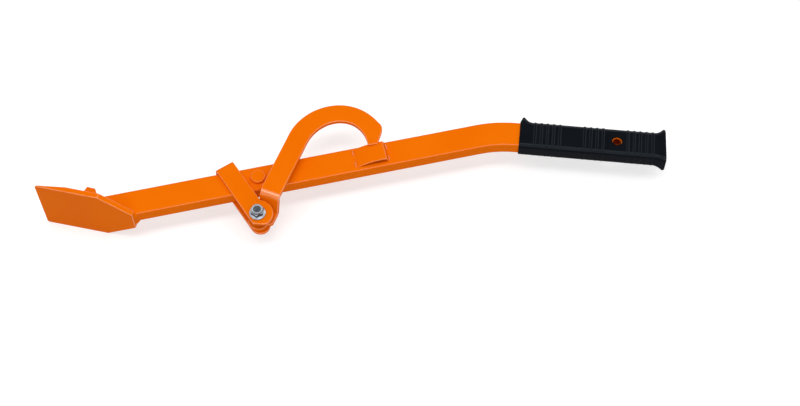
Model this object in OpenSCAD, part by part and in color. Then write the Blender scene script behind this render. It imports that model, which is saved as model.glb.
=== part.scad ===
// Felling lever: a rectangular steel bar with a welded wedge blade, a bent and
// gripped handle, and a cant hook bolted into a strap that slides on the bar.
// X runs from the blade towards the handle along the straight bar, Z is the
// normal of the bar's wide face, and the origin is the middle of the hang hole.

/* [Bar] */
// Width of the rectangular tube
bar_w = 35; // [30:0.5:45]
// Height of the rectangular tube
bar_h = 20; // [16:0.5:25]
// Wall of the tube
bar_wall = 2; // [1.5:0.25:3]
// Outer corner radius of the tube
bar_r = 3; // [2.5:0.25:5]
// Straight length from the blade's root to the corner of the bend
bar_len = 478; // [420:1:700]
// Angle of the handle to the bar, in degrees
bend_angle = 18.5; // [8:0.5:25]
// Bend radius on the tube's centre line
bend_r = 150; // [100:5:220]
// How far the tube's faces swell where it is bent
bend_swell = 0.03; // [0.02:0.01:0.1]
// Length of the tube past the corner of the bend
tail_len = 214; // [190:1:300]

/* [Blade] */
// Length of the blade from root to edge
blade_len = 123; // [105:1:150]
// Height of the blade at its edge
blade_h = 90; // [70:1:120]
// Height of the blade at its root
blade_root_h = 32; // [26:1:50]
// Length over which the root widens to the full height
blade_flare = 41; // [30:1:60]
// Thickness of the blade's body
blade_t = 7; // [5:0.5:10]
// Thickness of the blade at its edge
edge_t = 1.6; // [1:0.1:4]
// Length of the ground wedge behind the edge
wedge_len = 39; // [20:1:60]
// Angle of the blade to the bar, in degrees
blade_angle = 25; // [15:0.5:35]
// How far the blade's root stands out past the bar's near face
root_out = 5.5; // [2:0.5:10]
// Leg of the triangular weld beads
weld_leg = 3.5; // [2:0.25:5]

/* [Heel] */
// Thickness of the heel spur
spur_t = 10; // [6:0.5:16]
// Reach of the spur from the blade's near face
spur_reach = 34.5; // [28:0.5:50]
// Width of the spur at its tip
spur_tip_w = 11; // [6:0.5:20]
// Distance of the spur's tip from the blade's root
spur_at = 61; // [55:0.5:64]
// How far the spur's foot runs on towards the edge and back to the root
spur_foot = [10, 14]; // [4:0.5:20]
// Depth of the step on the spur's root side
spur_step = 10.5; // [4:0.5:16]

/* [Stud and keeper] */
// Radius of the stop stud
stud_r = 9.5; // [6:0.5:11]
// Height of the stop stud
stud_h = 5.5; // [3:0.25:7]
// Fillet of paint and weld round the stud's foot
stud_fillet = 1.5; // [0.5:0.25:2]
// Chamfer round the stud's top
stud_chamfer = 0.8; // [0.3:0.1:1.5]
// Distance of the stud from the pivot along the bar
stud_at = 10; // [8:0.5:40]
// Distance of the keeper's low end from the pivot along the bar
keeper_at = 136; // [125:1:138]
// Length of the keeper along the bar
keeper_len = 42; // [38:1:60]
// Width of the keeper across the bar
keeper_w = 27; // [18:0.5:32]
// Outer height of the keeper
keeper_h = 8; // [6:0.25:10]
// Sheet thickness of the keeper
keeper_t = 1.9; // [1.2:0.1:2.5]
// Distance of the keeper's crown from its far end
keeper_fall = 8; // [4:0.5:12]
// Solid length at the keeper's low end, in sheet thicknesses
keeper_heel = 2.6; // [1.5:0.1:4]
// Solid length at the keeper's high end, in sheet thicknesses
keeper_toe = 1.1; // [1:0.1:2]
// How far the keeper sits off the bar's middle, towards the far side
keeper_shift = 0.7; // [-2:0.1:2]
// Leg of the weld beads at the keeper's ends
keeper_weld = 2; // [1:0.25:3]

/* [Strap] */
// Width of the flat strip
strap_w = 25; // [20:0.5:32]
// Thickness of the flat strip
strap_t = 4; // [3:0.25:6]
// Play between the strap's crown and the bar's far side
crown_play = 0.92; // [0.3:0.01:6]
// Outer radius of the bends at the crown
crown_r = 6; // [4.5:0.5:10]
// Radius of the rounded eye at the front leg's end
boot_r = 19.4; // [17:0.2:19.6]
// Radius of the rounded eye at the rear leg's end
heel_r = 16.5; // [14:0.5:18]
// Lean of the strap from square to the bar, in degrees
strap_lean = 20.6; // [15:0.2:20.8]
// Distance of the bolt's axis from the bar's near face
pivot_out = 35.5; // [35:0.5:45]
// Distance of the bolt's axis from the blade's root along the bar
pivot_at = 154; // [154:1:230]
// Gap between each leg and the bar's wide face
strap_gap = 0.3; // [0.2:0.05:0.6]

/* [Hook] */
// Thickness of the hook plate
hook_t = 6; // [4.5:0.25:6.5]
// Width of the shank
shank_w = 26.5; // [20:0.5:32]
// Distance of the shank's left edge from the bolt's axis
shank_side = 8; // [6:0.5:12]
// Radius of the eye at the hook's root
eye_r = 13; // [11:0.5:15]
// Angle of the shank to the bar, in degrees
shank_angle = 55.3; // [54:0.1:58]
// Slope of the joggle, in degrees
joggle_angle = 75; // [72:1:82]
// Distance of the joggle's crest from the bolt's axis
crest_at = 24.2; // [24:0.1:27]
// Distance of the hook arc's centre from the bolt's axis along the shank
arc_at = 118.5; // [110:0.5:135]
// Outer radius of the hook's arc
arc_r = 68.5; // [60:0.5:75]
// Inner radius on the shank's side of the arc
throat_r = 46; // [38:0.5:50]
// Inner radius on the point's side of the arc
point_r = 34; // [28:0.5:38]
// How far the throat lies past the arc's centre
throat_shift = 4; // [0:0.5:8]
// Width of the hook's point
point_w = 11; // [6:0.5:16]
// Free height between the keeper's top and the hook
hook_clear = 0.5; // [0.3:0.1:1.5]
// Where the hook's slanted end leaves the arc: shares of the arc's radius, out and up
slant_out = 0.89; // [0.8:0.01:0.95]
slant_up = 0.45; // [0.3:0.01:0.6]
// How far the throat's centre lies below the arc's centre
throat_drop = 3; // [0:0.5:6]
// Reach of the joggle's strip past the bolt's axis, on the shank's left side
joggle_side = 5; // [3:0.5:8]
// How far the joggle's strip runs on under the shank past its crest
crest_run = 12; // [6:1:16]

/* [Bolt and nut] */
// Radius of the bolt's shank
bolt_r = 5; // [4:0.25:6]
// Width across the flats of the bolt's head
head_af = 16; // [14:0.5:19]
// Height of the bolt's head
head_h = 6.4; // [5:0.2:8]
// Radial running clearance of the hook on the bolt
run_fit = 0.08; // [0.05:0.01:0.1]
// Radial clearance of the bolt in the strap's legs
leg_fit = 0.25; // [0.1:0.05:0.5]
// Width across the flats of the nut
nut_af = 15; // [13:0.5:17]
// Height of the nut's hexagon with its flange
nut_h = 8.4; // [7:0.2:10]
// Radius of the nut's flange
flange_r = 10.3; // [9:0.1:12]
// Thickness of the nut's flange at its rim
flange_t = 1.4; // [1:0.1:2.5]
// Height of the collar that holds the locking ring
collar_h = 2.4; // [1.5:0.1:3.5]
// Outer radius of the collar
collar_r = 6.9; // [6.5:0.1:7.4]
// How far the bolt's end stays below the collar's rim
bolt_recess = 1.8; // [0.5:0.1:2.2]
// Wall of the nut's raised collar
collar_wall = 0.7; // [0.5:0.1:1.2]
// Height of the cone on the nut's flange
flange_cone = 1.6; // [0.8:0.1:2.4]

/* [Grip] */
// Wall of the grip on the bar's narrow sides
grip_side = 2; // [1.5:0.25:4]
// Wall of the grip on the bar's wide faces
grip_face = 2.2; // [1.5:0.1:4]
// Outer corner radius of the grip
grip_r = 5; // [4:0.25:7]
// Distance of the grip's mouth from the corner of the bend
grip_at = 29.5; // [27:0.5:45]
// Wall that closes the grip's end
grip_end = 4.5; // [3:0.25:8]
// Crown of the grip's end face
end_crown = 1.2; // [0.5:0.1:2.5]
// Reach of the end flare past the grip's side
flare_out = 5; // [2:0.25:8]
// Length of the end flare
flare_len = 12; // [8:0.5:20]
// Reach of the finger guard past the grip's far side
guard_out = 6.5; // [3:0.25:10]
// Length of the finger guard
guard_len = 11; // [8:0.5:16]
// Height of each rib above the grip
rib_h = 0.7; // [0.3:0.05:1.2]
// Width of each rib
rib_w = 3.6; // [2:0.1:5]
// Distance from rib to rib
rib_pitch = 8; // [6:0.25:10]
// Where the first ribs start, from the grip's mouth
rib_first = 18; // [14:0.5:24]
// Where the middle ribs start, before the hole
rib_before = 44; // [40:0.5:50]
// Where the last ribs start, after the hole
rib_after = 12; // [10:0.5:16]
// Clearance between the tube and the grip
grip_fit = 0.1; // [0.05:0.05:0.2]

/* [Hang hole] */
// Distance of the hole from the tube's end
hole_inset = 58.5; // [45:0.5:75]
// Radius of the hole through the tube
hole_r = 5.5; // [4:0.25:7]
// Radius of the hole through the grip
grip_hole_r = 7.5; // [6:0.25:9]

/* [Hidden] */
$fn = 64;
e = 0.01;
half_w = bar_w / 2;
half_h = bar_h / 2;
hole_at = tail_len - hole_inset;
origin_x = hole_at * cos(bend_angle);
origin_y = -hole_at * sin(bend_angle);
root_x = -bar_len;
root_y = -half_w - root_out;
pivot_x = root_x + pivot_at;
pivot_y = -half_w - pivot_out;
bend_cut = bend_r * tan(bend_angle / 2);
leg_z = half_h + strap_gap;
strap_len = (pivot_out + bar_w + crown_play + strap_w / 2 * sin(strap_lean)) / cos(strap_lean);
eye_z = -leg_z + strap_gap;
flat_z = half_h + keeper_h + hook_clear;
nut_z = leg_z + strap_t;
bolt_top = nut_z + nut_h + collar_h - bolt_recess;
grip_w = bar_w + 2 * (grip_side + grip_fit);
grip_h = bar_h + 2 * (grip_face + grip_fit);
grip_stop = tail_len + grip_end;
tube_lead = bar_w / tan(blade_angle) + 10;
mitre_cut = 3 * bar_w / sin(blade_angle);

// Frames: the bar's bend corner, the handle's axis, the blade's root and the bolt.
module bar_frame() { translate([-origin_x, -origin_y, 0]) children(); }
module handle_frame() { bar_frame() rotate([0, 0, -bend_angle]) children(); }
module blade_frame() {
    bar_frame() translate([root_x, root_y, 0]) mirror([1, 0, 0])
        rotate([0, 0, blade_angle]) children();
}
module pivot_frame() { bar_frame() translate([pivot_x, pivot_y, 0]) children(); }

module round_rect(w, h, r) {
    square([w - 2 * r, h], center = true);
    square([w, h - 2 * r], center = true);
    for (x = [-1, 1], y = [-1, 1])
        translate([x * (w / 2 - r), y * (h / 2 - r)]) circle(r);
}
// A prism along X of a section drawn across the bar.
module along(x0, x1) {
    translate([x0, 0, 0]) rotate([90, 0, 90]) linear_extrude(x1 - x0) children();
}
module hexagon(af) { circle(r = af / sqrt(3), $fn = 6); }

// Bar: straight part mitred to the blade, the bend, and the tail in the grip.
module tube_ring(grow) {
    difference() {
        round_rect(bar_w + 2 * grow, bar_h + 2 * grow, bar_r + grow);
        round_rect(bar_w - 2 * bar_wall - 2 * grow, bar_h - 2 * bar_wall - 2 * grow,
                   bar_r - bar_wall);
    }
}
module bar_tube() {
    color("darkorange") difference() {
        union() {
            bar_frame() {
                along(root_x - tube_lead, 1 - bend_cut) tube_ring(0);
                translate([-bend_cut, -bend_r, 0]) rotate([0, 0, 90 - bend_angle])
                    rotate_extrude(angle = bend_angle) translate([bend_r, 0])
                        tube_ring(bend_swell);
            }
            handle_frame() along(bend_cut - 1, tail_len) tube_ring(0);
        }
        blade_frame() translate([-mitre_cut / 6, blade_t - mitre_cut, -bar_h])
            cube([mitre_cut, mitre_cut, 2 * bar_h]);
        cylinder(r = hole_r, h = 3 * bar_h, center = true);
    }
}

// Blade: a wedge plate on edge, widening from its root to the ground edge.
module blade_side() {
    polygon([[0, -blade_root_h / 2], [blade_flare, -blade_h / 2], [blade_len, -blade_h / 2],
             [blade_len, blade_h / 2], [blade_flare, blade_h / 2], [0, blade_root_h / 2]]);
}
module blade_plan() {
    polygon([[0, 0], [blade_len, 0], [blade_len, edge_t],
             [blade_len - wedge_len, blade_t], [0, blade_t]]);
}
module blade() {
    color("darkorange") blade_frame() intersection() {
        translate([0, blade_t, 0]) rotate([90, 0, 0]) linear_extrude(blade_t) blade_side();
        translate([0, 0, -blade_h]) linear_extrude(2 * blade_h) blade_plan();
    }
}

// Beads along the mitre, above and below the tube.
module bead(len, leg) {
    rotate([90, 0, 90]) linear_extrude(len) polygon([[0, 0], [leg, 0], [0, leg]]);
}
module blade_weld() {
    run = (bar_w - 2 * bar_r) / sin(blade_angle);
    start = (root_out + bar_r - blade_t * cos(blade_angle)) / sin(blade_angle);
    color("darkorange") blade_frame() for (s = [0, 1]) mirror([0, 0, s])
        translate([start, blade_t, half_h]) bead(run - weld_leg / tan(blade_angle), weld_leg);
}

// Heel spur: a tooth on the tube's far side, close behind the blade.
module heel_spur() {
    color("darkorange") difference() {
        blade_frame() translate([0, 0, -spur_t / 2]) linear_extrude(spur_t)
            polygon([[spur_at + spur_tip_w + spur_foot[0], blade_t],
                     [spur_at + spur_tip_w + 1.5, spur_reach - 5],
                     [spur_at + spur_tip_w, spur_reach], [spur_at, spur_reach - 0.5],
                     [spur_at - 4.5, spur_reach - spur_step + 2],
                     [spur_at - spur_foot[1], spur_reach - spur_step],
                     [spur_at - spur_foot[1], blade_t]]);
        bar_frame() translate([root_x - mitre_cut, -bar_w, -bar_h])
            cube([2 * mitre_cut, bar_w + half_w, 2 * bar_h]);
    }
}

// Stop stud, turned, with the fillet at its foot.
module stop_stud() {
    color("darkorange") pivot_frame() translate([stud_at, -pivot_y, half_h]) rotate_extrude()
        difference() {
            union() {
                polygon([[0, 0], [stud_r, 0], [stud_r, stud_h - stud_chamfer],
                         [stud_r - stud_chamfer, stud_h], [0, stud_h]]);
                translate([stud_r - e, 0]) square([stud_fillet + e, stud_fillet]);
            }
            translate([stud_r + stud_fillet, stud_fillet]) circle(stud_fillet);
        }
}

// Keeper: a sheet bridge that rises slowly at one end and drops at the other.
module keeper_side(h, len, foot) {
    crown = len - keeper_fall;
    r = (crown * crown + h * h) / (2 * h);
    intersection() {
        translate([crown, h - r]) circle(r, $fn = 180);
        polygon([[-1, -foot], [len, -foot], [len, 0], [len - h * 0.12, h * 0.62],
                 [len - h * 0.5, h * 1.1], [-1, h * 1.1]]);
    }
}
module keeper_bridge() {
    color("darkorange") pivot_frame() translate([keeper_at, keeper_w / 2 - pivot_y + keeper_shift, half_h])
        rotate([90, 0, 0]) linear_extrude(keeper_w) difference() {
            keeper_side(keeper_h, keeper_len, 0);
            translate([keeper_heel * keeper_t, 0])
                keeper_side(keeper_h - keeper_t, keeper_len - (keeper_heel + keeper_toe) * keeper_t, 1);
        }
}
module keeper_bead(x, s) {
    color("darkorange") pivot_frame() translate([x, keeper_shift - pivot_y, half_h]) mirror([s, 0, 0])
        rotate([90, 0, 0]) linear_extrude(keeper_w - 2 * keeper_weld, center = true)
            polygon([[0, 0], [keeper_weld, 0], [0, keeper_weld * 0.9]]);
}
module keeper_weld_low() {
    keeper_bead(keeper_at, 1);
}
module keeper_weld_high() { keeper_bead(keeper_at + keeper_len, 0); }

// Grip: a moulded sleeve with ribs, a finger guard and a flared end.
module grip_section(grow) { round_rect(grip_w + 2 * grow, grip_h + 2 * grow, grip_r); }
module slice(x, far, near, up) {
    translate([x, (far - near) / 2, 0]) rotate([90, 0, 90]) linear_extrude(0.3)
        round_rect(grip_w + far + near, grip_h + 2 * up, grip_r, $fn = 32);
}
module ribs(from, count) {
    for (i = [0 : count - 1])
        along(from + i * rib_pitch, from + i * rib_pitch + rib_w) grip_section(rib_h);
}
module grip_sleeve() {
    stop = grip_stop - end_crown;
    color([0.11, 0.12, 0.13]) difference() {
        handle_frame() {
            along(grip_at, stop) grip_section(0);
            ribs(grip_at + rib_first, 5);
            ribs(hole_at - rib_before, 4);
            ribs(hole_at + rib_after, 5);
            hull() {
                slice(grip_at + 1, 1.2, 0, 0.1);
                slice(grip_at + 3.5, guard_out, 0, 0.4);
                slice(grip_at + 5, guard_out, 0, 0.4);
                slice(grip_at + guard_len, 0, 0, 0);
            }
            hull() {
                slice(grip_stop - flare_len, 0, 0, 0);
                slice(grip_stop - 5.5, flare_out, flare_out, 1);
                slice(stop - 1.2, flare_out, flare_out, 1);
                slice(stop - 0.3, flare_out - 2, flare_out - 2, 0);
                slice(grip_stop - 0.3, -grip_w / 3, -grip_w / 3, -4);
            }
        }
        handle_frame() along(grip_at - guard_len, tail_len)
            round_rect(bar_w + 2 * grip_fit, bar_h + 2 * grip_fit, bar_r);
        cylinder(r = grip_hole_r, h = 3 * grip_h, center = true);
    }
}

// Strap: one flat strip bent round the bar, with an eye at each leg's end.
module strap_frame() { pivot_frame() rotate([0, 0, strap_lean]) children(); }
module strap_bow() {
    out_z = leg_z + strap_t;
    in_r = crown_r - strap_t;
    rotate([90, 0, 90]) linear_extrude(strap_w, center = true) difference() {
        union() {
            translate([0, -out_z]) square([strap_len + strap_t - crown_r, 2 * out_z]);
            translate([0, -out_z + crown_r])
                square([strap_len + strap_t, 2 * (out_z - crown_r)]);
            for (s = [-1, 1]) translate([strap_len + strap_t - crown_r, s * (out_z - crown_r)])
                circle(crown_r);
        }
        translate([-e, -leg_z]) square([strap_len - in_r, 2 * leg_z]);
        translate([-e, -leg_z + in_r]) square([strap_len + e, 2 * (leg_z - in_r)]);
        for (s = [-1, 1]) translate([strap_len - in_r, s * (leg_z - in_r)]) circle(in_r);
    }
}
module front_end() {
    intersection() {
        circle(boot_r);
        polygon([[-strap_w / 2, boot_r], [-strap_w / 2, -boot_r / 2], [-boot_r * 0.28, -boot_r * 0.8],
                 [boot_r * 0.1, -boot_r], [boot_r, -boot_r], [boot_r * 1.2, 0], [strap_w / 2, boot_r * 0.8],
                 [strap_w / 2, boot_r]]);
    }
}
module strap() {
    color("darkorange") strap_frame() difference() {
        union() {
            strap_bow();
            translate([0, 0, leg_z]) linear_extrude(strap_t) front_end();
            translate([0, 0, -leg_z - strap_t]) linear_extrude(strap_t) circle(heel_r);
        }
        cylinder(r = bolt_r + leg_fit, h = 4 * leg_z, center = true);
    }
}

// Bolt up through both legs, and the flanged locking nut on the front leg.
module pivot_bolt() {
    color("silver") pivot_frame() {
        translate([0, 0, -nut_z]) cylinder(r = bolt_r, h = bolt_top + nut_z);
        translate([0, 0, -nut_z - head_h]) intersection() {
            linear_extrude(head_h) hexagon(head_af);
            cylinder(r1 = head_af / 2 - 0.3, r2 = head_af / 2 + head_h, h = head_h);
        }
    }
}
module pivot_nut() {
    color("silver") pivot_frame() translate([0, 0, nut_z]) difference() {
        union() {
            cylinder(r = flange_r, h = flange_t);
            translate([0, 0, flange_t - e])
                cylinder(r1 = flange_r, r2 = nut_af / 2, h = flange_cone);
            intersection() {
                linear_extrude(nut_h) rotate(12) hexagon(nut_af);
                cylinder(r1 = nut_af / 2 + nut_h, r2 = nut_af / 2 + 0.2, h = nut_h);
            }
            translate([0, 0, nut_h - e]) cylinder(r = collar_r, h = collar_h + e);
        }
        translate([0, 0, -e]) cylinder(r = bolt_r + 0.05, h = nut_h + e);
        translate([0, 0, nut_h - e]) cylinder(r = collar_r - collar_wall, h = collar_h + 1);
    }
}
module lock_ring() {
    color([0.2, 0.3, 0.5]) pivot_frame() translate([0, 0, nut_z + nut_h]) difference() {
        cylinder(r = collar_r - collar_wall, h = collar_h - 0.5);
        translate([0, 0, -e]) cylinder(r = bolt_r + 0.05, h = collar_h);
    }
}

// Hook: eye and joggle between the legs, then a flat plate above the bar.
module joggle() {
    run = (flat_z - eye_z) / tan(joggle_angle);
    thick = hook_t / sin(joggle_angle);
    side = -(shank_w - shank_side);
    foot = crest_at - run - hook_t / tan(joggle_angle);
    rotate([90, 0, 0]) translate([0, 0, -joggle_side]) linear_extrude(joggle_side - side)
        polygon([[0, eye_z], [foot + thick - 1.5, eye_z], [foot + thick + 0.3, eye_z + 1.5],
                 [crest_at + thick - hook_t / tan(joggle_angle) - 0.2, flat_z - 1.2],
                 [crest_at + thick + 1, flat_z], [crest_at + crest_run, flat_z],
                 [crest_at + crest_run, flat_z + hook_t], [crest_at + 1.4, flat_z + hook_t],
                 [crest_at - 0.4, flat_z + hook_t - 1.3],
                 [foot + (hook_t + 1.5) / tan(joggle_angle), eye_z + hook_t + 1.5],
                 [foot + hook_t / tan(joggle_angle) - 1.2, eye_z + hook_t], [0, eye_z + hook_t]]);
}
module hook_plan() {
    lean = (arc_r * slant_out - throat_shift - point_r - point_w) / (arc_r * slant_up);
    below = point_r / 2;
    difference() {
        union() {
            translate([crest_at + 2, shank_side - shank_w]) square([arc_at - crest_at - 2, shank_w]);
            // Arc, cut off below its centre and slanted towards the point.
            difference() {
                translate([arc_at, shank_side - arc_r]) circle(arc_r, $fn = 180);
                translate([arc_at - 3 * arc_r, shank_side - shank_w - 4 * arc_r])
                    square([3 * arc_r, 4 * arc_r]);
                translate([arc_at, shank_side - arc_r]) rotate(-shank_angle) {
                    translate([-2 * arc_r, -3 * arc_r]) square([4 * arc_r, 3 * arc_r + 1]);
                    polygon([[arc_r * slant_out, arc_r * slant_up], [2 * arc_r, arc_r * slant_up],
                             [2 * arc_r, -below],
                             [throat_shift + point_r + point_w - below * lean, -below]]);
                }
            }
        }
        // Throat, with its tighter radius towards the point.
        translate([arc_at, shank_side - arc_r]) rotate(-shank_angle)
            translate([throat_shift, -throat_drop]) {
            intersection() {
                circle(throat_r, $fn = 180);
                translate([-throat_r, 0]) square(throat_r);
            }
            translate([0, throat_r - point_r]) intersection() {
                circle(point_r, $fn = 180);
                square(point_r);
            }
            translate([0, throat_r - 3 * point_r]) square([point_r, 2 * point_r]);
        }
    }
}
module hook() {
    color("darkorange") pivot_frame() rotate([0, 0, shank_angle]) difference() {
        union() {
            translate([0, 0, eye_z]) cylinder(r = eye_r, h = hook_t);
            joggle();
            translate([0, 0, flat_z]) linear_extrude(hook_t) hook_plan();
        }
        translate([0, 0, eye_z - 1]) cylinder(r = bolt_r + run_fit, h = hook_t + 2);
    }
}

bar_tube();
blade();
blade_weld();
heel_spur();
stop_stud();
keeper_bridge();
keeper_weld_low();
keeper_weld_high();
grip_sleeve();
strap();
pivot_bolt();
pivot_nut();
lock_ring();
hook();
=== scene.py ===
import math

import bmesh
import bpy
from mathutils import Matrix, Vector, noise


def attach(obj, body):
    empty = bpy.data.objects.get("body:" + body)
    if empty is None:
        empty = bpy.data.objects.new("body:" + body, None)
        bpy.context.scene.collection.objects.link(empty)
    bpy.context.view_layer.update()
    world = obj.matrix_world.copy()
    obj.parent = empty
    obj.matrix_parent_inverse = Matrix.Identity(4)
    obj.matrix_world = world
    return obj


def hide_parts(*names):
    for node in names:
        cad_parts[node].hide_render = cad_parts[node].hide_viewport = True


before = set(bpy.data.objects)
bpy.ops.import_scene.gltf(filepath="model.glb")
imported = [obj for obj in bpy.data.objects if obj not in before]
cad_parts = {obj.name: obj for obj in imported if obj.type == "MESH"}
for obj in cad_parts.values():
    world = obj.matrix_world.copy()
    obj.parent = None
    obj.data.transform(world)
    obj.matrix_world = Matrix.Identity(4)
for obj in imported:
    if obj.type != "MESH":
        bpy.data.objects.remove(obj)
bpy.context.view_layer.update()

mm = 0.001

# The same frames as the part's source: bar axis, handle axis, blade root and bolt
lever = {
    "bendAngle": 18.5,
    "holeFromBend": 155.5,
    "barWidth": 35.0,
    "barHeight": 20.0,
    "bladeRoot": (-478.0, -23.0),
    "bladeAngle": 25.0,
    "bolt": (-324.0, -53.0),
}


def turned(x, y, degrees):
    c, s = math.cos(math.radians(degrees)), math.sin(math.radians(degrees))
    return x * c - y * s, x * s + y * c


def onBar(x, y, z):
    ox, oy = turned(lever["holeFromBend"], 0, -lever["bendAngle"])
    return Vector((x - ox, y - oy, z)) * mm


def onHandle(x, y, z):
    return onBar(*turned(x, y, -lever["bendAngle"]), z)


def onBlade(x, y, z):
    rx, ry = turned(x, y, lever["bladeAngle"])
    return onBar(lever["bladeRoot"][0] - rx, lever["bladeRoot"][1] + ry, z)


def onBolt(x, y, z):
    return onBar(lever["bolt"][0] + x, lever["bolt"][1] + y, z)


# Materials

def newMaterial(name):
    mat = bpy.data.materials.new(name)
    mat.use_nodes = True
    tree = mat.node_tree
    shader = tree.nodes["Principled BSDF"]
    coords = tree.nodes.new("ShaderNodeTexCoord")
    return mat, tree, shader, coords.outputs["Object"]


def noiseNode(tree, coords, scale, detail, stretch=None):
    if stretch:
        mapping = tree.nodes.new("ShaderNodeMapping")
        mapping.inputs["Scale"].default_value = stretch
        tree.links.new(coords, mapping.inputs["Vector"])
        coords = mapping.outputs["Vector"]
    node = tree.nodes.new("ShaderNodeTexNoise")
    node.inputs["Scale"].default_value = scale
    node.inputs["Detail"].default_value = detail
    tree.links.new(coords, node.inputs["Vector"])
    return node.outputs["Fac"]


def ramp(tree, source, low, high, lowAt=0.3, highAt=0.7):
    node = tree.nodes.new("ShaderNodeValToRGB")
    node.color_ramp.elements[0].position = lowAt
    node.color_ramp.elements[0].color = low if len(low) == 4 else (*low, 1)
    node.color_ramp.elements[1].position = highAt
    node.color_ramp.elements[1].color = high if len(high) == 4 else (*high, 1)
    tree.links.new(source, node.inputs["Fac"])
    return node.outputs["Color"]


def between(tree, source, low, high):
    node = tree.nodes.new("ShaderNodeMapRange")
    node.inputs["From Min"].default_value = 0.3
    node.inputs["From Max"].default_value = 0.7
    node.inputs["To Min"].default_value = low
    node.inputs["To Max"].default_value = high
    tree.links.new(source, node.inputs["Value"])
    return node.outputs["Result"]


def bumpNode(tree, height, strength, distance, normal=None):
    node = tree.nodes.new("ShaderNodeBump")
    node.inputs["Strength"].default_value = strength
    node.inputs["Distance"].default_value = distance
    tree.links.new(height, node.inputs["Height"])
    if normal:
        tree.links.new(normal, node.inputs["Normal"])
    return node.outputs["Normal"]


paint = {
    "shade": (0.845, 0.152, 0.0),
    "pale": (0.875, 0.172, 0.001),
    # The edge colour is paler than the body paint: a painted highlight on the rounded edges, the hook's
    # joggle crest and the keeper's tacks
    "edge": (0.90, 0.215, 0.012),
    "roughness": (0.30, 0.40),
    "specular": 0.012,
    "edgeRoughness": (0.20, 0.28),
    "edgeSpecular": 1.0,
    "cloud": 14.0,
    "peel": 620.0,      # orange peel, about 1.6 mm
    "peelStrength": 0.35,
    "peelHeight": 0.00006,
    "grit": 2600.0,
    "gritStrength": 0.12,
    "gritHeight": 0.00002,
    "cornerFrom": 0.225,    # the tube's corners shine between these two, 0.25 is 45 degrees
    "cornerTo": 0.245,
}


def makePaint(name, shade, pale, roughness, specular):
    mat, tree, shader, coords = newMaterial(name)
    cloud = noiseNode(tree, coords, paint["cloud"], 4.0)
    peel = noiseNode(tree, coords, paint["peel"], 1.5)
    grit = noiseNode(tree, coords, paint["grit"], 1.0)
    tree.links.new(ramp(tree, cloud, shade, pale), shader.inputs["Base Color"])
    tree.links.new(between(tree, cloud, *roughness), shader.inputs["Roughness"])
    dimples = bumpNode(tree, peel, paint["peelStrength"], paint["peelHeight"])
    rough = bumpNode(tree, grit, paint["gritStrength"], paint["gritHeight"], dimples)
    tree.links.new(rough, shader.inputs["Normal"])
    shader.inputs["Specular IOR Level"].default_value = specular
    return mat


rubber = {
    "dark": (0.0028, 0.0036, 0.0052),
    "light": (0.0050, 0.0062, 0.0085),
    "roughness": (0.42, 0.56),
    "specular": 0.025,
    "wornRoughness": (0.34, 0.44),
    "wornSpecular": 0.15,
    "gloss": (0.72, 0.86, 1.0, 1.0),
    "cloud": 35.0,
    "grain": 1500.0,
    "grainStrength": 0.35,
    "grainHeight": 0.00006,
}


def makeRubber(name, roughness, specular):
    mat, tree, shader, coords = newMaterial(name)
    cloud = noiseNode(tree, coords, rubber["cloud"], 5.0)
    grain = noiseNode(tree, coords, rubber["grain"], 2.0)
    tree.links.new(ramp(tree, cloud, rubber["dark"], rubber["light"]), shader.inputs["Base Color"])
    tree.links.new(between(tree, cloud, *roughness), shader.inputs["Roughness"])
    rough = bumpNode(tree, grain, rubber["grainStrength"], rubber["grainHeight"])
    tree.links.new(rough, shader.inputs["Normal"])
    shader.inputs["Specular IOR Level"].default_value = specular
    shader.inputs["Specular Tint"].default_value = rubber["gloss"]
    return mat


def mathNode(tree, operation, a, b):
    node = tree.nodes.new("ShaderNodeMath")
    node.operation = operation
    for socket, value in zip(node.inputs, (a, b)):
        if isinstance(value, float):
            socket.default_value = value
        else:
            tree.links.new(value, socket)
    return node.outputs["Value"]


# The tube keeps its own mesh, so its long rounded corners are found by their slope
def makeTubePaint():
    mat = makePaint("tubePaint", paint["shade"], paint["pale"], paint["roughness"],
                    paint["specular"])
    tree = mat.node_tree
    shader = tree.nodes["Principled BSDF"]
    coords = tree.nodes.new("ShaderNodeTexCoord")
    axes = tree.nodes.new("ShaderNodeSeparateXYZ")
    tree.links.new(coords.outputs["Normal"], axes.inputs["Vector"])
    flat = mathNode(tree, "MULTIPLY", axes.outputs["Z"], axes.outputs["Z"])
    steep = mathNode(tree, "SUBTRACT", 1.0, flat)
    corner = mathNode(tree, "MULTIPLY", flat, steep)
    gloss = tree.nodes.new("ShaderNodeMapRange")
    gloss.inputs["From Min"].default_value = paint["cornerFrom"]
    gloss.inputs["From Max"].default_value = paint["cornerTo"]
    gloss.inputs["To Min"].default_value = paint["specular"]
    gloss.inputs["To Max"].default_value = paint["edgeSpecular"]
    tree.links.new(corner, gloss.inputs["Value"])
    tree.links.new(gloss.outputs["Result"], shader.inputs["Specular IOR Level"])
    return mat


zinc = {
    "dull": (0.28, 0.31, 0.36),
    "bright": (0.52, 0.56, 0.62),
    "roughness": (0.20, 0.36),
    # A darker copy of the zinc: painted shade on the bolt and the nut's flanks
    "shadedDull": (0.045, 0.05, 0.062),
    "shadedBright": (0.12, 0.13, 0.15),
    "cloud": 260.0,
    "scratch": 900.0,
    "stretch": (1.0, 1.0, 0.08),
    "scratchStrength": 0.2,
    "scratchHeight": 0.00004,
}


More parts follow.
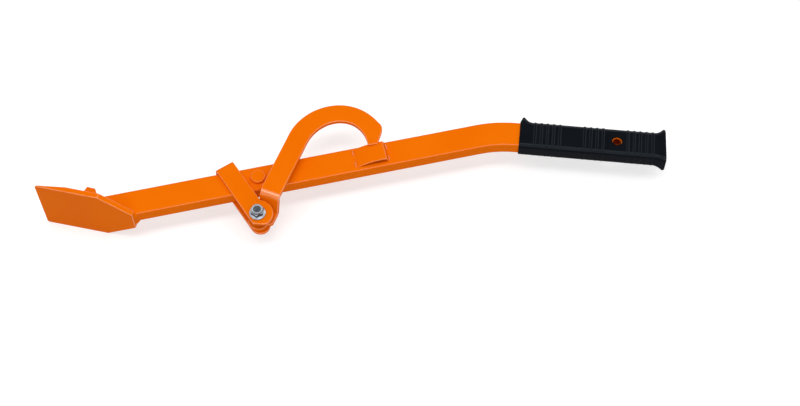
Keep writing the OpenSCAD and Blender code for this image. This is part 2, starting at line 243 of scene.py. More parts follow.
def makeZinc(name, dull, bright):
    mat, tree, shader, coords = newMaterial(name)
    cloud = noiseNode(tree, coords, zinc["cloud"], 4.0)
    scratch = noiseNode(tree, coords, zinc["scratch"], 2.0, zinc["stretch"])
    tree.links.new(ramp(tree, cloud, dull, bright), shader.inputs["Base Color"])
    tree.links.new(between(tree, cloud, *zinc["roughness"]), shader.inputs["Roughness"])
    lines = bumpNode(tree, scratch, zinc["scratchStrength"], zinc["scratchHeight"])
    tree.links.new(lines, shader.inputs["Normal"])
    shader.inputs["Metallic"].default_value = 1.0
    return mat


# The ring's nylon is painted pale: a painted highlight on the nut's top
nylon = {
    "dull": (0.42, 0.45, 0.50),
    "bright": (0.56, 0.59, 0.64),
    "roughness": (0.35, 0.5),
    "cloud": 400.0,
    "cloudStrength": 0.2,
    "cloudHeight": 0.00004,
}


def makeNylon():
    mat, tree, shader, coords = newMaterial("highlightNylon")
    cloud = noiseNode(tree, coords, nylon["cloud"], 3.0)
    tree.links.new(ramp(tree, cloud, nylon["dull"], nylon["bright"]), shader.inputs["Base Color"])
    tree.links.new(between(tree, cloud, *nylon["roughness"]), shader.inputs["Roughness"])
    uneven = bumpNode(tree, cloud, nylon["cloudStrength"], nylon["cloudHeight"])
    tree.links.new(uneven, shader.inputs["Normal"])
    return mat


orangePaint = makePaint("orangePaint", paint["shade"], paint["pale"], paint["roughness"],
                        paint["specular"])
# Paler paint for rounded edges, the crest and the tacks: the paler colour is a painted highlight, and
# its gloss takes real highlights from the lamps
orangeEdgeHighlight = makePaint("orangeEdgeHighlight", paint["pale"], paint["edge"], paint["edgeRoughness"],
                       paint["edgeSpecular"])
blackRubber = makeRubber("blackRubber", rubber["roughness"], rubber["specular"])
wornRubber = makeRubber("wornRubber", rubber["wornRoughness"], rubber["wornSpecular"])
zincSteel = makeZinc("zincSteel", zinc["dull"], zinc["bright"])
shadedZinc = makeZinc("shadedZinc", zinc["shadedDull"], zinc["shadedBright"])
highlightNylon = makeNylon()
print("materials made")


# Pieces

def addPiece(name, bm, body, mats):
    mesh = bpy.data.meshes.new(name)
    bm.to_mesh(mesh)
    bm.free()
    for mat in mats:
        mesh.materials.append(mat)
    piece = bpy.data.objects.new(name, mesh)
    bpy.context.scene.collection.objects.link(piece)
    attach(piece, body)
    return piece


def keepFacesFlat(piece, sharpAngle):
    piece.data.set_sharp_from_angle(angle=math.radians(sharpAngle))
    piece.modifiers.new("flat faces", "WEIGHTED_NORMAL").keep_sharp = True


# A node's own shape with its edges rounded, angles in degrees
rounding = {
    "weld": 0.005,      # points closer than this are one
    "flatter": 0.6,
    "roundAbove": 32,
    "sharpAbove": 38,
    "segments": 3,
}


def roundPlate(node, radius, body, mats, tip=None):
    bm = bmesh.new()
    bm.from_mesh(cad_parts[node].data)
    bmesh.ops.remove_doubles(bm, verts=bm.verts, dist=rounding["weld"] * mm)
    bmesh.ops.dissolve_limit(bm, angle_limit=math.radians(rounding["flatter"]), verts=bm.verts,
                             edges=bm.edges)
    if tip:
        longest, corner = tip
        short = [e for e in bm.edges if e.calc_length() < longest * mm]
        bmesh.ops.bevel(bm, geom=short, offset=corner * mm, offset_type="OFFSET", segments=2,
                        profile=0.5, affect="EDGES")
    limit = math.radians(rounding["roundAbove"])
    sharp = [e for e in bm.edges if e.is_manifold and e.calc_face_angle() > limit]
    # The rounded edges take the second material, which on the painted plates is the paler edge paint, a
    # painted highlight
    bmesh.ops.bevel(bm, geom=sharp, offset=radius * mm, offset_type="OFFSET",
                    segments=rounding["segments"], profile=0.5, affect="EDGES", clamp_overlap=True,
                    material=1)
    for face in bm.faces:
        face.smooth = True
    piece = addPiece(node + ".rounded", bm, body, mats)
    keepFacesFlat(piece, rounding["sharpAbove"])
    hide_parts(node)
    return piece


# Edge radius in mm of each painted piece
plates = {
    "blade": 1.3,
    "heel_spur": 0.8,
    "stop_stud": 0.5,
    "keeper_bridge": 0.45,
}
bladeTip = (2.0, 3.2)       # the edges shorter than the first get the second as radius

for node, radius in plates.items():
    roundPlate(node, radius, "bar", (orangePaint, orangeEdgeHighlight),
               bladeTip if node == "blade" else None)
print("plates rounded")


# A smooth curve through all the points, cut into steps
def curveThrough(points, step):
    ends = [tuple(2 * a - b for a, b in zip(points[0], points[1]))]
    ends += points + [tuple(2 * a - b for a, b in zip(points[-1], points[-2]))]
    out = []
    for p0, p1, p2, p3 in zip(ends, ends[1:], ends[2:], ends[3:]):
        count = max(2, int(math.dist(p1, p2) / step))
        for k in range(count):
            t = k / count
            out.append(tuple(0.5 * (2 * b + (c - a) * t + (2 * a - 5 * b + 4 * c - d) * t * t
                                    + (3 * b - a - 3 * c + d) * t ** 3)
                             for a, b, c, d in zip(p0, p1, p2, p3)))
    return out + [points[-1]]


# The outline moved towards its inside
def offsetIn(points, by):
    out = []
    for k, (x, y) in enumerate(points):
        lastX, lastY = points[k - 1]
        nextX, nextY = points[(k + 1) % len(points)]
        size = math.hypot(nextX - lastX, nextY - lastY)
        out.append((x - (nextY - lastY) / size * by, y + (nextX - lastX) / size * by))
    return out


# Cuts across a flat plate where it is going to bend
def bendCuts(low, high, count=12):
    return [((low + (high - low) * k / count, 0), (1, 0)) for k in range(count + 1)]


# The corner at b between a and c, its curve starting and ending at the distance cut
def roundedCorner(a, b, c, cut):
    before, corner, after = Vector(a), Vector(b), Vector(c)
    start = corner + (before - corner).normalized() * cut
    stop = corner + (after - corner).normalized() * cut
    return [tuple(start * (1 - t) ** 2 + corner * 2 * t * (1 - t) + stop * t * t)
            for t in (0.0, 0.2, 0.4, 0.6, 0.8, 1.0)]


cutting = {
    "edgeSteps": 4,
    "boreSides": 48,
    "boreEdge": 0.4,
    "sharpAbove": 40,
}


# The wall of one outline from the upper face to the lower, its two edges rounded
def addWall(bm, points, edge, half):
    steps = cutting["edgeSteps"]
    rings = []
    for side in (1, -1):
        for k in range(steps + 1) if side == 1 else range(steps, -1, -1):
            a = math.pi / 2 * k / steps
            z = side * (half - abs(edge) * (1 - math.cos(a)))
            level = offsetIn(points, edge * (1 - math.sin(a)))
            rings.append([bm.verts.new((x, y, z)) for x, y in level])
    # The rounded edge rings take the second material, the paler edge paint that is a painted highlight
    for level, (upper, lower) in enumerate(zip(rings, rings[1:])):
        for k in range(len(upper)):
            n = (k + 1) % len(upper)
            face = bm.faces.new((upper[k], upper[n], lower[n], lower[k]))
            face.material_index = 0 if level == steps else 1
    return rings


# A plate cut to an outline, its edges rounded, then bent by moving each point with place().
# All in mm until then. The crest is the stretch along x that has the edge's material, the paler paint
# that is a painted highlight.
def bentPlate(name, outline, bores, thick, edge, cuts, crest, place, body):
    bm = bmesh.new()
    walls = [addWall(bm, outline, edge, thick / 2)]
    sides = cutting["boreSides"]
    for x, y, radius in bores:
        circle = [turned(radius, 0, 360 * k / sides) for k in range(sides)]
        walls.append(addWall(bm, [(x + cx, y + cy) for cx, cy in circle], -cutting["boreEdge"],
                             thick / 2))
    for end in (0, -1):
        edges = [bm.edges.get((rings[end][k], rings[end][(k + 1) % len(rings[end])]))
                 for rings in walls for k in range(len(rings[end]))]
        bmesh.ops.triangle_fill(bm, use_beauty=True, edges=edges)
    for (x, y), (nx, ny) in cuts:
        geom = bm.verts[:] + bm.edges[:] + bm.faces[:]
        bmesh.ops.bisect_plane(bm, geom=geom, dist=1e-5, plane_co=(x, y, 0), plane_no=(nx, ny, 0))
    for face in bm.faces:
        if crest[0] < face.calc_center_median().x < crest[1]:
            face.material_index = 1
    for v in bm.verts:
        v.co = place(*v.co)
    bmesh.ops.recalc_face_normals(bm, faces=bm.faces)
    for face in bm.faces:
        face.smooth = True
    piece = addPiece(name, bm, body, (orangePaint, orangeEdgeHighlight))
    keepFacesFlat(piece, cutting["sharpAbove"])
    return piece


# Strap: flat strip bent twice at the crown
strap = {
    "width": 25.0,
    "thick": 4.0,
    "edge": 0.8,
    "lean": 20.6,
    "legAt": 12.3,      # middle of each leg, from the bar's middle
    "length": 83.0,     # bolt to the crown's middle
    "bendRadius": 4.0,
    "bore": 5.25,
    "boot": 19.4,       # the front leg's end, about the bolt
    "bootTurn": (-82, 130),
    "toe": [(-5.4, -15.5), (-2.0, -17.6), (0.2, -18.9), (2.0, -19.3)],
    "heel": (12.5, 13.2, 3.0),      # the rear leg's end: half width, depth, shift from the bolt
}


# Where the two bends start and end, along the flat strip from the front bolt hole
def strapRuns():
    quarter = strap["bendRadius"] * math.pi / 2
    flat = strap["length"] - strap["bendRadius"]
    crown = 2 * (strap["legAt"] - strap["bendRadius"])
    return flat, flat + quarter, flat + quarter + crown, flat + 2 * quarter + crown


# s runs along the strip, y across it and t through it
def placeStrap(s, y, t):
    a, b, c, d = strapRuns()
    r, low = strap["bendRadius"], strap["legAt"] - strap["bendRadius"]
    if s <= a:
        u, z = s, strap["legAt"] + t
    elif s <= b:
        turn = (s - a) / r
        u, z = a + (r + t) * math.sin(turn), low + (r + t) * math.cos(turn)
    elif s <= c:
        u, z = a + r + t, low - (s - b)
    elif s <= d:
        turn = (s - c) / r
        u, z = a + (r + t) * math.cos(turn), -low - (r + t) * math.sin(turn)
    else:
        u, z = a - (s - d), -strap["legAt"] - t
    return onBolt(*turned(-y, u, strap["lean"]), z)


def buildStrap():
    a, b, c, d = strapRuns()
    half, boot = strap["width"] / 2, strap["boot"]
    rearBolt = d + a
    foot = [(-half, -boot * 0.5 + 1.6), (-half + 0.5, -boot * 0.5 + 0.2),
            (-half + 1.6, -boot * 0.5 - 1.0)] + strap["toe"]
    outline = curveThrough(foot, 0.8)
    first, sweep = strap["bootTurn"]
    outline += [turned(boot, 0, first + sweep * k / 46) for k in range(47)]
    start = outline[-1][1] + 1.6
    stop = foot[0][1] + 2
    wide, deep, past = strap["heel"]
    end = rearBolt + past
    outline += [(half, start + (end - start) * k / 60) for k in range(60)]
    outline += [(wide * math.cos(math.pi * k / 36), end + deep * math.sin(math.pi * k / 36))
                for k in range(37)]
    outline += [(-half, end + (stop - end) * k / 64) for k in range(1, 65)]
    flat = [(u, -v) for v, u in outline]
    bores = [(0, 0, strap["bore"]), (rearBolt, 0, strap["bore"])]
    cuts = bendCuts(a, b) + bendCuts(c, d)
    noCrest = (b, b)
    piece = bentPlate("strap.bent", flat, bores, strap["thick"], strap["edge"], cuts, noCrest,
                      placeStrap, "strap_body")
    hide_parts("strap")


buildStrap()
print("strap bent")


# Hook: drawn flat, then bent up past the strap's front leg
hook = {
    "thick": 6.0,
    "edge": 0.9,
    "taper": 7.0,       # the point thins over this length, to this part of the plate
    "thin": 0.2,
    "tipCorner": 1.6,
    "eye": 13.0,
    "eyeTo": 262,
    "bore": 5.08,
    "angle": 55.3,      # shank to bar
    "left": 8.0,        # the shank's sides, from the bolt's axis
    "stripLeft": 7.2,   # the same, on the joggle's strip
    "right": -18.5,
    "neck": [(-0.6, -14.2), (0.6, -16.8), (3.4, -18.3)],
    "neckTo": 6.5,
    "arcAt": 118.5,
    "arcRadius": 68.5,
    "slope": 75.0,
    "bendRadius": 5.0,
    "lowCorner": (18.81, -7.0),
    "highCorner": (26.45, 21.5),
    # radius of the arc's outside and of the throat, by angle about the arc's centre
    "outside": [(22.5, 65.8), (29, 65.6), (42, 66.5), (55, 67.5), (70, 68.2), (85, 68.2), (110, 67.9),
                (125, 68.0), (145.3, 68.5)],
    "throat": [(160, 43.4), (150, 42.15), (140, 41.6), (129, 41.2), (110, 41.5), (92, 42.4), (72, 43.2),
               (52, 42.7), (33, 40.9), (13.7, 39.1), (1.5, 38.6)],
    # the back of the point, from the arc's centre
    "point": [(51.6, 1.0), (52.3, 2.6), (55.1, 7.1), (58.6, 13.0), (60.8, 18.0), (61.4, 21.6),
              (60.8, 25.2)],
}


# Where the joggle's two bends start and end along the flat plate, and where the second one ends
# once they are bent
def hookBends():
    slope = math.radians(hook["slope"])
    r = hook["bendRadius"]
    reach = r * math.tan(slope / 2)
    (x0, z0), (x1, z1) = hook["lowCorner"], hook["highCorner"]
    incline = math.dist((x0, z0), (x1, z1)) - 2 * reach
    starts = [x0 - reach]
    for run in (r * slope, incline, r * slope):
        starts.append(starts[-1] + run)
    return starts, x1 + reach


bendStarts, flatFrom = hookBends()


# s runs along the shank and t through it
def bendHook(s, t):
    a, b, c, d = bendStarts
    slope, r = math.radians(hook["slope"]), hook["bendRadius"]
    z0, z1 = hook["lowCorner"][1], hook["highCorner"][1]
    if s <= a:
        return s, z0 + t
    if s <= b:
        turn = (s - a) / r
        return a + (r - t) * math.sin(turn), z0 + r - (r - t) * math.cos(turn)
    bx, bz = a + r * math.sin(slope), z0 + r - r * math.cos(slope)
    along = min(s, c) - b
    cx, cz = bx + along * math.cos(slope), bz + along * math.sin(slope)
    if s <= c:
        return cx - t * math.sin(slope), cz + t * math.cos(slope)
    if s <= d:
        left = slope - (s - c) / r
        mx, mz = cx + r * math.sin(slope), cz - r * math.cos(slope)
        return mx - (r + t) * math.sin(left), mz + (r + t) * math.cos(left)
    return flatFrom + s - d, z1 + t


# From angle and radius about the arc's centre
def polar(points):
    return [turned(radius, 0, at) for at, radius in curveThrough(points, 1.4)]


# From the arc's centre, in the bar's direction, to the flat plate
def placed(points):
    out = []
    for x, y in points:
        tx, ty = turned(x, y, -hook["angle"])
        out.append((hook["arcAt"] + bendStarts[3] - flatFrom + tx,
                    hook["left"] - hook["arcRadius"] + ty))
    return out


# The two corners of the point's end
def hookTip():
    return placed(polar(hook["throat"])[-1:]) + placed(hook["point"][:1])


def hookOutline():
    eye, left, strip, right = hook["eye"], hook["left"], hook["stripLeft"], hook["right"]
    # the eye, the neck and the shank's right side
    eyeFrom = math.degrees(math.asin(strip / eye))
    outline = [turned(eye, 0, eyeFrom + (hook["eyeTo"] - eyeFrom) * k / 44) for k in range(45)]
    x = hook["neckTo"]
    outline += curveThrough(hook["neck"] + [(x, right)], 0.8)
    throat = placed(polar(hook["throat"]))
    outline += [(x + (throat[0][0] - x) * k / 40, right) for k in range(1, 40)]
    # the throat, the point and the arc's outside
    back = placed(curveThrough(hook["point"], 1.2))
    inner, outer = hookTip()
    outline += throat[:-2]
    outline += roundedCorner(throat[-3], inner, outer, hook["tipCorner"])
    outline += roundedCorner(inner, outer, back[2], hook["tipCorner"])
    outline += back[2:-1]
    outside = placed(polar(hook["outside"]))
    outline += outside
    # back along the shank's left side, which steps in to the strip
    x, start = bendStarts[3] + 3.0, outside[-1][0]
    outline += [(start + (x - start) * k / 30, left) for k in range(1, 30)]
    step = left - strip
    outline += curveThrough([(x, left), (x - 2.2, left - step * 0.27), (x - 3.6, left - step * 0.8),
                             (x - 5.6, strip)], 0.7)
    stripEnd = x - 5.6
    outline += [(stripEnd + (12.6 - stripEnd) * k / 14, strip) for k in range(1, 14)]
    return outline


def buildHook():
    a, b, c, d = bendStarts
    (ax, ay), (bx, by) = hookTip()
    span = math.dist((ax, ay), (bx, by))
    nx, ny = (ay - by) / span, (bx - ax) / span
    taper, thin, half = hook["taper"], hook["thin"], hook["thick"] / 2

    def place(x, y, t):
        fromEnd = ((x - ax) * nx + (y - ay) * ny) / taper
        if fromEnd < 1 and y < ay + 2 * taper:
            t = -half + (t + half) * (thin + (1 - thin) * max(0.0, fromEnd))
        x, z = bendHook(x, t)
        return onBolt(*turned(x, y, hook["angle"]), z)

    # The joggle's second bend, from c to d, is the crest in the paler edge paint, a painted highlight
    cuts = bendCuts(a, b) + bendCuts(c, d) + [((ax + nx * taper, ay + ny * taper), (nx, ny))]
    piece = bentPlate("hook.bent", hookOutline(), [(0, 0, hook["bore"])], hook["thick"],
                      hook["edge"], cuts, (c, d), place, "hook_body")
    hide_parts("hook")


buildHook()
print("hook bent")


# Grip: moulded sleeve, drawn along the handle's axis
grip = {
    "mouth": 29.5,
    "stop": 217.3,
    "crown": 1.2,
    "halfWide": 19.6,
    "halfHigh": 12.3,
    "corner": 5.6,
    "bore": (17.6, 10.1, 3.0),
    "boreEnd": 214.0,
    "hole": 6.3,
    "guard": {"out": 7.4, "peak": 3.8, "top": 1.8, "run": 12.0},
    "flare": {"out": 5.0, "up": 2.8, "run": 14.5, "lip": 3.2, "slant": 2.0},
    "ribs": {"groups": [(47.5, 5), (111.5, 4), (167.5, 5)], "pitch": 8.0, "width": 3.6, "height": 0.7,
             "soft": 0.9},
    "seamRidge": 0.16,
    "lip": 0.9,
    "endRound": 2.0,
    "step": 0.45,
    "wornAbove": 0.7,       # the direction of the upper side and its corners
    "flank": 0.02,          # a step in the ribs' height that counts as a flank
    "sharpAbove": 50,
}


# From 0 to 1 between low and high
def soft(x, low, high):
    t = min(1.0, max(0.0, (x - low) / (high - low)))
    return t * t * (3 - 2 * t)


# Points round the section, with their outward directions
def roundedSection(halfWide, halfHigh, corner, flats=(16, 9), bend=9):
    out = []
    for quarter in range(4):
        cx = (halfWide - corner) * (1 if quarter in (0, 3) else -1)
        cy = (halfHigh - corner) * (1 if quarter in (0, 1) else -1)
        for k in range(bend):
            a = math.pi / 2 * (quarter + k / (bend - 1))
            n = (math.cos(a), math.sin(a))
            out.append(((cx + corner * n[0], cy + corner * n[1]), n))
        last, n = out[-1]
        wide = quarter % 2 == 0
        far = (-last[0], last[1]) if wide else (last[0], -last[1])
        count = flats[0] if wide else flats[1]
        for k in range(1, count):
            t = k / count
            out.append(((last[0] + (far[0] - last[0]) * t, last[1] + (far[1] - last[1]) * t), n))
    return out


def ribHeight(x):
    ribs = grip["ribs"]
    for start, count in ribs["groups"]:
        for i in range(count):
            low = start + i * ribs["pitch"]
            high = low + ribs["width"]
            if low - 1 < x < high + 1:
                rise = soft(x, low - 0.3, low + ribs["soft"])
                return ribs["height"] * rise * (1 - soft(x, high - ribs["soft"], high + 0.3))
    return 0.0


# The ribs fade out round the corners to the underside, the guard stands out on the far side
# only, and the flare spreads both ways
def gripRing(x, inset=0.0):
    guard, flare = grip["guard"], grip["flare"]
    rise = soft(x, grip["mouth"] - 0.5, grip["mouth"] + guard["peak"])
    guardEnd = grip["mouth"] + guard["peak"] + guard["top"] + guard["run"]
    fall = max(0.0, (guardEnd - x) / guard["run"])
    fingers = rise * (min(1.0, fall) ** 2.4) * guard["out"]
    run = flare["run"] - flare["lip"]
    out = max(0.0, min(1.0, (x - grip["stop"] + flare["run"]) / run)) ** 2.3
    ring = []
    for (y, z), (ny, nz) in roundedSection(grip["halfWide"], grip["halfHigh"], grip["corner"]):
        rib = ribHeight(x)
        underNear = soft(z, -11.5, -4.0) if y < 0 else soft(z, -12.3, -9.0)
        under = 1.0 if abs(nz) > 0.99 and abs(y) < grip["halfWide"] - 6 else underNear
        rib *= 0.12 + 0.88 * under
        if abs(z) < 0.3 and abs(ny) > 0.99:
            rib += grip["seamRidge"]
        y2 = y + ny * (rib - inset)
        z2 = z + nz * (rib - inset)
        if y > 0:
            y2 += fingers * (y / grip["halfWide"])
        y2 += out * flare["out"] * y / grip["halfWide"]
        z2 += out * flare["up"] * z / grip["halfHigh"]
        slant = out * flare["slant"] * (0.5 - 0.5 * y / grip["halfWide"])
        ring.append((x + slant, y2, z2))
    return ring


def buildGrip():
    bm = bmesh.new()
    rings = []
    section = roundedSection(grip["halfWide"], grip["halfHigh"], grip["corner"])
    top = [k for k, (point, n) in enumerate(section) if n[1] > grip["wornAbove"]]
    worn = [k for k in top if section[k][1][1] < 0.999]

    def addRing(points, flank=False):
        ring = [bm.verts.new(onHandle(*p)) for p in points]
        if rings:
            last = rings[-1]
            for k in range(len(ring)):
                n = (k + 1) % len(ring)
                face = bm.faces.new((last[k], ring[k], ring[n], last[n]))
                face.material_index = 1 if k in worn or flank and k in top else 0
        rings.append(ring)

    inner = roundedSection(*grip["bore"])
    addRing([(grip["boreEnd"], p[0], p[1]) for p, n in inner])
    addRing([(grip["mouth"] + 0.6, p[0], p[1]) for p, n in inner])
    addRing([(grip["mouth"], p[0] + 0.3 * n[0], p[1] + 0.3 * n[1]) for p, n in inner])
    lip = grip["lip"]
    for k in range(5):
        a = math.pi / 2 * k / 4
        addRing(gripRing(grip["mouth"] + lip * (1 - math.cos(a)), lip * (1 - math.sin(a))))
    x = grip["mouth"] + lip
    step, stop, end = grip["step"], grip["stop"], grip["endRound"]
    while x < stop - end - step:
        x += step
        addRing(gripRing(x), abs(ribHeight(x) - ribHeight(x - step)) > grip["flank"])
    for k in range(8):
        a = math.pi / 2 * k / 7
        addRing(gripRing(stop - end * (1 - math.sin(a)), end * (1 - math.cos(a))))
    rim = gripRing(stop, end)
    middle = stop + grip["flare"]["slant"] / 2
    for k in range(1, 9):
        t = 1 - k / 9
        bulge = grip["crown"] * (1 - t * t)
        addRing([(middle + (x - middle) * t + bulge, y * t, z * t) for x, y, z in rim])
    bm.faces.new(rings[-1])
    bm.faces.new(rings[0][::-1])
    bmesh.ops.recalc_face_normals(bm, faces=bm.faces)
    for face in bm.faces:
        face.smooth = True
    mesh = bpy.data.meshes.new("grip_moulded")
    bm.to_mesh(mesh)
    bm.free()
    mesh.materials.append(blackRubber)
    mesh.materials.append(wornRubber)
    blank = bpy.data.objects.new("gripBlank", mesh)
    bpy.context.scene.collection.objects.link(blank)
    cut = bmesh.new()
    radius = grip["hole"] * mm
    bmesh.ops.create_cone(cut, cap_ends=True, segments=72, radius1=radius, radius2=radius,
                          depth=60 * mm)
    cutMesh = bpy.data.meshes.new("holeCutter")
    cut.to_mesh(cutMesh)
    cut.free()
    cutter = bpy.data.objects.new("holeCutter", cutMesh)
    bpy.context.scene.collection.objects.link(cutter)
    hole = blank.modifiers.new("hang hole", "BOOLEAN")
    hole.object = cutter
    hole.operation = "DIFFERENCE"
    hole.solver = "EXACT"
    graph = bpy.context.evaluated_depsgraph_get()
    drilled = bmesh.new()
    drilled.from_mesh(blank.evaluated_get(graph).to_mesh())
    bpy.data.objects.remove(blank)
    bpy.data.objects.remove(cutter)
    piece = addPiece("grip.moulded", drilled, "bar", (blackRubber, wornRubber))
    piece.data.set_sharp_from_angle(angle=math.radians(grip["sharpAbove"]))
    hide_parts("grip_sleeve")


buildGrip()
print("grip moulded")


welds = {
    "leg": 3.3,
    "pitch": 1.7,
    "stepsPerPitch": 8,
    "ripple": 0.13,
    "swell": 0.55,      # 0 is a flat fillet, 1 a round one
    "wander": 0.08,
    "sunk": 0.3,        # the bead's root lies this deep in the corner
    "across": 12,
}


# A rippled bead in the corner between two faces, with legs along legA and legB
def weldBead(name, corner, run, legA, legB, leg, replaced=(), mat=orangePaint):
    corner, run = Vector(corner), Vector(run)
    legA, legB = Vector(legA).normalized(), Vector(legB).normalized()
    length = run.length / mm
    steps = int(length / welds["pitch"] * welds["stepsPerPitch"])
    bm = bmesh.new()
    rings = []
    for i in range(steps + 1):
        s = length * i / steps
        left = min(s, length - s)
        ends = min(1.0, (left / leg) ** 0.5 if left > 0 else 0.05)
        wander = 1.0 + welds["wander"] * noise.noise(Vector((s * 0.35, leg, length)))
        root = corner + run * (s / length)
        ring = [bm.verts.new(root - (legA + legB) * welds["sunk"] * mm)]
        for k in range(welds["across"] + 1):
            t = k / welds["across"]
            bow = math.sin(math.pi * t)
            turn = t * math.pi / 2
            flat = legA * (1 - t) + legB * t
            full = legA * math.cos(turn) + legB * math.sin(turn)
            crest = abs(math.sin(math.pi * ((s - 0.8 * leg * bow) / welds["pitch"]))) ** 0.7
            reach = leg * max(ends, 0.15) * wander * (1 - welds["ripple"] * (1 - crest) * bow)
            ring.append(bm.verts.new(root + flat.lerp(full, welds["swell"]) * reach * mm))
        rings.append(ring)
    count = len(rings[0])
    for a, b in zip(rings, rings[1:]):
        for k in range(count):
            bm.faces.new((a[k], a[(k + 1) % count], b[(k + 1) % count], b[k]))
    bm.faces.new(rings[0][::-1])
    bm.faces.new(rings[-1])
    bmesh.ops.recalc_face_normals(bm, faces=bm.faces)
    for face in bm.faces:
        face.smooth = True
    piece = addPiece(name, bm, "bar", (mat,))
    if replaced:
        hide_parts(*replaced)


halfHigh = lever["barHeight"] / 2
halfWide = lever["barWidth"] / 2

# Blade seam, above and below the tube
bladeThick = 7.0
seam = {"from": 3.5, "to": 79.0}
inward = onBlade(0, 1, 0) - onBlade(0, 0, 0)
for side, label in ((1, "upper"), (-1, "lower")):
    start = onBlade(seam["from"], bladeThick, side * halfHigh)
    stop = onBlade(seam["to"], bladeThick, side * halfHigh)
    weldBead("blade_seam_" + label, start, stop - start, (0, 0, side), inward, welds["leg"],
             ("blade_weld",) if side == 1 else ())

# Near side of the tube against the blade's root
nearSeam = {"at": (-475.6, -16.6), "low": -15.0, "high": 10.6, "leg": 5.2}
start = onBar(*nearSeam["at"], nearSeam["low"])
stop = onBar(*nearSeam["at"], nearSeam["high"])
weldBead("blade_seam_near", start, stop - start, (1, 0, 0), -inward, nearSeam["leg"])

# Heel spur's foot, both sides
spur = {"thick": 10.0, "from": -512.5, "to": -545.0, "leg": 2.2}
for side, label in ((1, "upper"), (-1, "lower")):
    start = onBar(spur["from"], halfWide, side * spur["thick"] / 2)
    stop = onBar(spur["to"], halfWide, side * spur["thick"] / 2)
    weldBead("spur_foot_" + label, start, stop - start, (0, 1, 0), (0, 0, side), spur["leg"])

# Tacks at the keeper's corners, in the paler edge paint as painted glints
keeper = {"at": 136.0, "length": 42.0, "width": 27.0, "inset": 0.3, "shift": 0.7, "leg": 2.4,
          "tack": 9.5}
middle = -lever["bolt"][1] + keeper["shift"]
reach = keeper["width"] / 2 - keeper["inset"]
for x, way, label in ((keeper["at"], -1, "low"), (keeper["at"] + keeper["length"], 1, "high")):
    for y, end in ((middle - reach, "near"), (middle + reach - keeper["tack"], "far")):
        start = onBolt(x, y, halfHigh)
        stop = onBolt(x, y + keeper["tack"], halfHigh)
        weldBead("keeper_tack_" + label + "_" + end, start, stop - start, (way, 0, 0), (0, 0, 1),
                 keeper["leg"], ("keeper_weld_" + label,) if end == "near" else (), orangeEdgeHighlight)
print("weld beads laid")


# Bolt, nut and locking ring, with their edge radii in mm. The nut's flanks and the bolt are the darker
# zinc, painted shade; the bolt's rounded edges are the lighter zinc, a painted highlight.
fittings = {"pivot_nut": 0.35, "pivot_bolt": 1.2, "lock_ring": 0.2, "flank": 0.3}
nut = roundPlate("pivot_nut", fittings["pivot_nut"], "strap_body", (zincSteel, shadedZinc))
for face in nut.data.polygons:
    face.material_index = 1 if abs(face.normal.z) < fittings["flank"] else 0
roundPlate("pivot_bolt", fittings["pivot_bolt"], "strap_body", (shadedZinc, zincSteel))
# The locking ring in the pale nylon, a painted highlight on the nut's top
roundPlate("lock_ring", fittings["lock_ring"], "strap_body", (highlightNylon, highlightNylon))


def finishNode(node, mat):
    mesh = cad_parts[node].data
    mesh.materials.clear()
    mesh.materials.append(mat)


finishNode("bar_tube", makeTubePaint())
print("bar and fittings finished")


# Floor, light and camera

studio = {
    "floorAt": -0.0451,
    "floorReach": 9,
    "floorShade": 0.62,
    "floorGlow": 0.52,
    "worldLight": 0.58,
}

# Place, aim, size and power of each lamp
lamps = {
    "keyLamp": ((-0.6, -0.1, 2.45), (-0.6, 0.0, 0), (2.6, 0.6), 27.0),
    "frontLamp": ((-0.5, -2.7, 1.1), (-0.35, 0.05, 0), (1.6, 0.6), 12.0),
    "fillLamp": ((1.5, 1.3, 2.0), (-0.35, 0.05, 0), (1.2, 1.0), 7.0),
}


# White where it is seen, the plain shader for the light that falls on things
def whiteForCamera(tree, plain, bright, output, kind):
    path = tree.nodes.new("ShaderNodeLightPath")
    seen = path.outputs["Is Camera Ray"]
    for other in ("Is Glossy Ray", "Is Transmission Ray"):
        seen = mathNode(tree, "MAXIMUM", seen, path.outputs[other])
    mix = tree.nodes.new("ShaderNodeMixShader")
    tree.links.new(seen, mix.inputs["Fac"])
    tree.links.new(plain, mix.inputs[1])
    tree.links.new(bright, mix.inputs[2])
    tree.links.new(mix.outputs["Shader"], output.inputs[kind])


def makeWorld():
    world = bpy.data.worlds.new("studioWorld")
    world.use_nodes = True
    tree = world.node_tree
    tree.nodes.clear()
    output = tree.nodes.new("ShaderNodeOutputWorld")
    lamp = tree.nodes.new("ShaderNodeBackground")
    lamp.inputs["Strength"].default_value = studio["worldLight"]
    white = tree.nodes.new("ShaderNodeBackground")
    white.inputs["Strength"].default_value = 1.0
    for node in (lamp, white):
        node.inputs["Color"].default_value = (1, 1, 1, 1)
    whiteForCamera(tree, lamp.outputs[0], white.outputs[0], output, "Surface")
    bpy.context.scene.world = world


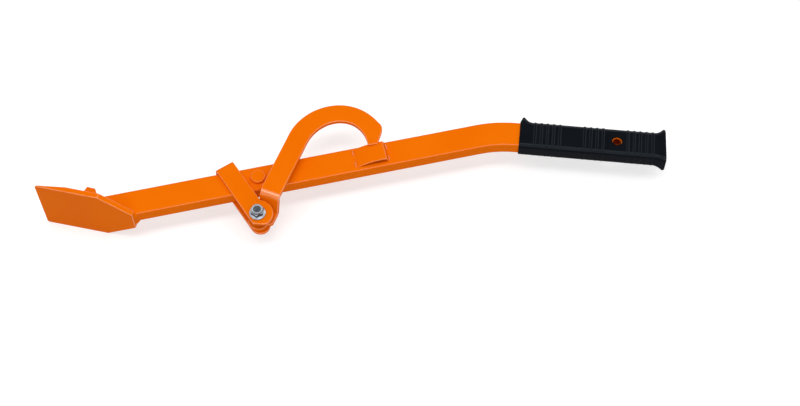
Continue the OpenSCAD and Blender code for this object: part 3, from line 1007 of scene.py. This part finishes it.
def makeFloor():
    mat = bpy.data.materials.new("paleFloor")
    mat.use_nodes = True
    tree = mat.node_tree
    tree.nodes.clear()
    output = tree.nodes.new("ShaderNodeOutputMaterial")
    matt = tree.nodes.new("ShaderNodeBsdfDiffuse")
    matt.inputs["Color"].default_value = (studio["floorShade"],) * 3 + (1,)
    glow = tree.nodes.new("ShaderNodeEmission")
    glow.inputs["Strength"].default_value = studio["floorGlow"]
    both = tree.nodes.new("ShaderNodeAddShader")
    tree.links.new(matt.outputs[0], both.inputs[0])
    tree.links.new(glow.outputs[0], both.inputs[1])
    whiteForCamera(tree, matt.outputs[0], both.outputs[0], output, "Surface")
    bm = bmesh.new()
    far = studio["floorReach"]
    corners = ((-far, -far), (far, -far), (far, far), (-far, far))
    bm.faces.new([bm.verts.new((x, y, studio["floorAt"])) for x, y in corners])
    mesh = bpy.data.meshes.new("studio_floor")
    bm.to_mesh(mesh)
    bm.free()
    mesh.materials.append(mat)
    floor = bpy.data.objects.new("studio_floor", mesh)
    bpy.context.scene.collection.objects.link(floor)


def addLamp(name, place, aim, size, power):
    lamp = bpy.data.lights.new(name, "AREA")
    lamp.shape = "RECTANGLE"
    lamp.size, lamp.size_y = size
    lamp.energy = power
    lampObject = bpy.data.objects.new(name, lamp)
    lampObject.location = place
    lampObject.rotation_euler = (Vector(aim) - Vector(place)).to_track_quat("-Z", "Y").to_euler()
    bpy.context.scene.collection.objects.link(lampObject)


makeWorld()
makeFloor()
for name, settings in lamps.items():
    addLamp(name, *settings)

camera = {
    "place": (-0.51425, -0.99868, 1.74057),
    "tilt": 29.942,
    "swing": -12.798,
    "lens": 71.195,
    "sensor": 36.0,
}
lens = bpy.data.cameras.new("photoCamera")
lens.lens = camera["lens"]
lens.sensor_fit = "HORIZONTAL"
lens.sensor_width = camera["sensor"]
eye = bpy.data.objects.new("photoCamera", lens)
eye.location = camera["place"]
eye.rotation_euler = (math.radians(camera["tilt"]), 0, math.radians(camera["swing"]))
bpy.context.scene.collection.objects.link(eye)
bpy.context.scene.camera = eye
bpy.context.scene.view_settings.view_transform = "Standard"
print("floor, lamps and camera set")
